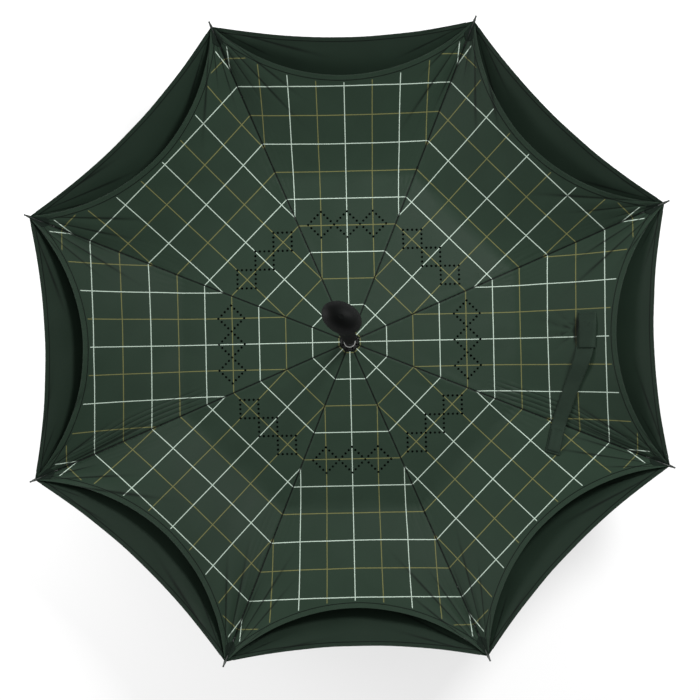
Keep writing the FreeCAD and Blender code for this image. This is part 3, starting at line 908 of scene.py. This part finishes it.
def make_strap():
    start, bend, end = (383 * MM, 22 * MM), (378 * MM, -20 * MM), (325 * MM, -189 * MM)

    def half_width(s):
        return (12.2 - 1.4 * smooth(s, 30 * MM, 120 * MM)) * MM

    def arch(s):
        hump = 5.0 * np.exp(-((s - 66 * MM) / (24 * MM)) ** 2)
        return (0.9 + hump + 1.2 * smooth(s, 80 * MM, 120 * MM) * (1 - smooth(s, 160 * MM, 190 * MM))) * MM

    def same(value):
        return lambda s: np.full_like(s, value)

    band = Ribbon("strap_band", (start, bend, end), half_width, 1.5 * MM, arch, 0.3 * MM)
    tab = Ribbon("strap_tab", ((383 * MM, 40 * MM), (381 * MM, -18 * MM)), same(12.3 * MM), 0.8 * MM,
                 same(0.3 * MM), 0.2 * MM, under=band)
    low = band.places[-1] - 40 * MM
    inside = band.path[band.places > low]
    pad = Ribbon("strap_end_pad", (tuple(inside[0]), tuple(inside[-3])), same(9.3 * MM), 0.9 * MM,
                 same(0.1 * MM), 0.15 * MM, under=band)

    # stitches beside the edges, across the ends, and in a crossed box on the tab
    rows = [band.line(60 * MM, low, share) for share in (-0.86, 0.86)]
    rows += [band.cross(band.places[-1] - 4 * MM)]
    rows += [tab.line(4 * MM, 54 * MM, share) for share in (-0.8, 0.8)]
    rows += [tab.cross(place) for place in (4 * MM, 11 * MM, 33 * MM, 54 * MM)]
    rows += [pad.line(2 * MM, 34 * MM, share) for share in (-0.82, 0.82)]
    rows += [pad.cross(place) for place in (2.5 * MM, 34 * MM)]
    box = [tab.top[int(np.argmin(np.abs(tab.places - place)))] for place in (11 * MM, 33 * MM)]
    for a, b in ((box[0][2], box[1][-3]), (box[0][-3], box[1][2])):
        flat = np.linspace(a, b, 24)
        flat[:, 2] = tab.top_at(flat[:, 0], flat[:, 1])
        rows.append(flat)
    thread = stitches("strap_stitches", rows)

    lay(thread, "strap_cloth", "strap")
    thread.data.materials[0] = THREAD
    lay(pad.made, "strap_cloth", "strap_pad", pad.flat)
    lay(band.made, "strap_cloth", "strap", band.flat)
    lay(tab.made, "strap_cloth", "strap", tab.flat)


def make_corner_patches():
    """A small wrinkled triangle of cloth over each corner, sewn round the tip of the rod."""
    reach, half_angle, slope = 25 * MM, math.radians(21), 1.45
    for rib in range(GORES):
        angle, random = rib_angle(rib), np.random.RandomState(60 + rib)
        turn = random.uniform(0, 6.28)
        s, t = np.meshgrid(np.linspace(0.05, 1, 18), np.linspace(-1, 1, 25), indexing="ij")
        bend = half_angle * t
        far = reach * s * (1 + 0.12 * np.cos(2.2 * t + turn * 0.1))
        r, side = TIP_R - far * np.cos(bend), far * np.sin(bend)
        x = r * math.cos(angle) - side * math.sin(angle)
        y = r * math.sin(angle) + side * math.cos(angle)
        base = cloth_at(x, y) + 0.25 * MM
        ripple = 0.55 * MM * s * (1 + np.sin(17 * bend + turn)) * (1 - t ** 4)
        top = np.stack([x, y, base + 0.35 * MM + ripple], 2)
        low = np.stack([x, y, base], 2)
        n, m = s.shape
        places = np.concatenate([top.reshape(-1, 3), low.reshape(-1, 3)])
        grid = np.arange(n * m).reshape(n, m)
        faces = []
        for i in range(n - 1):
            for j in range(m - 1):
                a, b, c, d = grid[i, j], grid[i, j + 1], grid[i + 1, j + 1], grid[i + 1, j]
                faces += [(a, d, c, b), (a + n * m, b + n * m, c + n * m, d + n * m)]
        rim = list(grid[0]) + list(grid[1:, -1]) + list(grid[-1, -2::-1]) + list(grid[-2:0:-1, 0])
        for a, b in zip(rim, rim[1:] + rim[:1]):
            faces.append((a, b, b + n * m, a + n * m))
        made = mesh_object(f"corner_patch_{rib + 1}", places, faces)
        place_on_cloth(made, np.tile(np.stack([side, far], 2).reshape(-1, 2), (2, 1)))
        flat = (2 * reach * math.sin(half_angle), 1.12 * reach * slope)
        lay(made, "outer_cloth", "inner_canopy", flat,
            rib=rib)
        made.data.materials[0] = PATCH


def hem_runs(canopy, rib, offset, shift):
    """The points of a stitch row on both half hems beside a rib."""
    runs = []
    sweep = math.asin(CORNER[1] / canopy.hem_r) * 0.985
    r = canopy.hem_r + offset
    angles = np.linspace(0, sweep, 120)
    for gore, side in ((rib, 1), ((rib + 1) % GORES, -1)):
        x, y = canopy.hem_x - r * np.cos(angles), side * r * np.sin(angles)
        kept = canopy.seam_distance(x, y) > 1 * MM
        x, y = x[kept], y[kept]
        z = height(canopy, gore, x, y + side * 1e-12) + shift
        c, s = math.cos(2 * HALF * gore), math.sin(2 * HALF * gore)
        runs.append(np.stack([x * c - y * s, x * s + y * c, z], 1))
    return runs


def make_stitches():
    """Rows of stitches along the hems; the outer canopy's show on both of its sides."""
    above, below = 0.12 * MM, -1 * MM
    for canopy, slot, shifts in ((INNER, "inner_cloth", (above,)), (OUTER, "outer_cloth", (above, below))):
        for rib in range(GORES):
            runs = [run for shift in shifts for offset in (1.4 * MM, canopy.hem_width - 1 * MM)
                    for run in hem_runs(canopy, rib, offset, shift)]
            made = stitches(f"{canopy.name}_stitches_{rib + 1}", runs)
            lay(made, slot, canopy.name, rib=rib)
            made.data.materials[0] = THREAD


# ---- floor, light and camera -------------------------------------------------------------
def make_stage():
    half = 40
    floor = mesh_object("floor", [(-half, -half, 0), (half, -half, 0), (half, half, 0), (-half, half, 0)],
                        [(0, 1, 2, 3)])
    p = Paint("pale_floor", roughness=0.9, specular=0.1)
    p.set("Base Color", (0.27, 0.27, 0.27, 1))
    p.set("Emission Color", (1, 1, 1, 1))
    p.set("Emission Strength", 0.6)
    floor.data.materials.append(p.material)

    world = bpy.data.worlds.new("studio")
    bpy.context.scene.world = world
    world.use_nodes = True
    world.node_tree.nodes["Background"].inputs["Color"].default_value = (1, 1, 1, 1)
    world.node_tree.nodes["Background"].inputs["Strength"].default_value = 0.88

    aim = Vector((0, 0, 50 * MM))
    for name, place, watts in (("key", (0.8, 0.8, 1.4), 42.0), ("fill", (-0.95, 0.1, 0.5), 9.5)):
        light = bpy.data.lights.new(name, "AREA")
        light.size = 0.45
        light.energy = watts
        lamp = bpy.data.objects.new(name, light)
        lamp.location = place
        lamp.rotation_euler = (aim - lamp.location).to_track_quat("-Z", "Y").to_euler()
        bpy.context.scene.collection.objects.link(lamp)


def make_camera():
    """Looks straight down the shaft from the handle's side."""
    camera = bpy.data.cameras.new("camera")
    camera.sensor_width = 36.0
    camera.lens = 60.28
    made = bpy.data.objects.new("camera", camera)
    made.location = (0.0003, -0.0134, 2.02)
    made.rotation_euler = (0, 0, math.radians(-1.257))
    bpy.context.scene.collection.objects.link(made)
    bpy.context.scene.camera = made
    bpy.context.scene.view_settings.view_transform = "Standard"


finish_cad_nodes()
make_canopies()
make_strap()
make_corner_patches()
make_stitches()
make_stage()
make_camera()
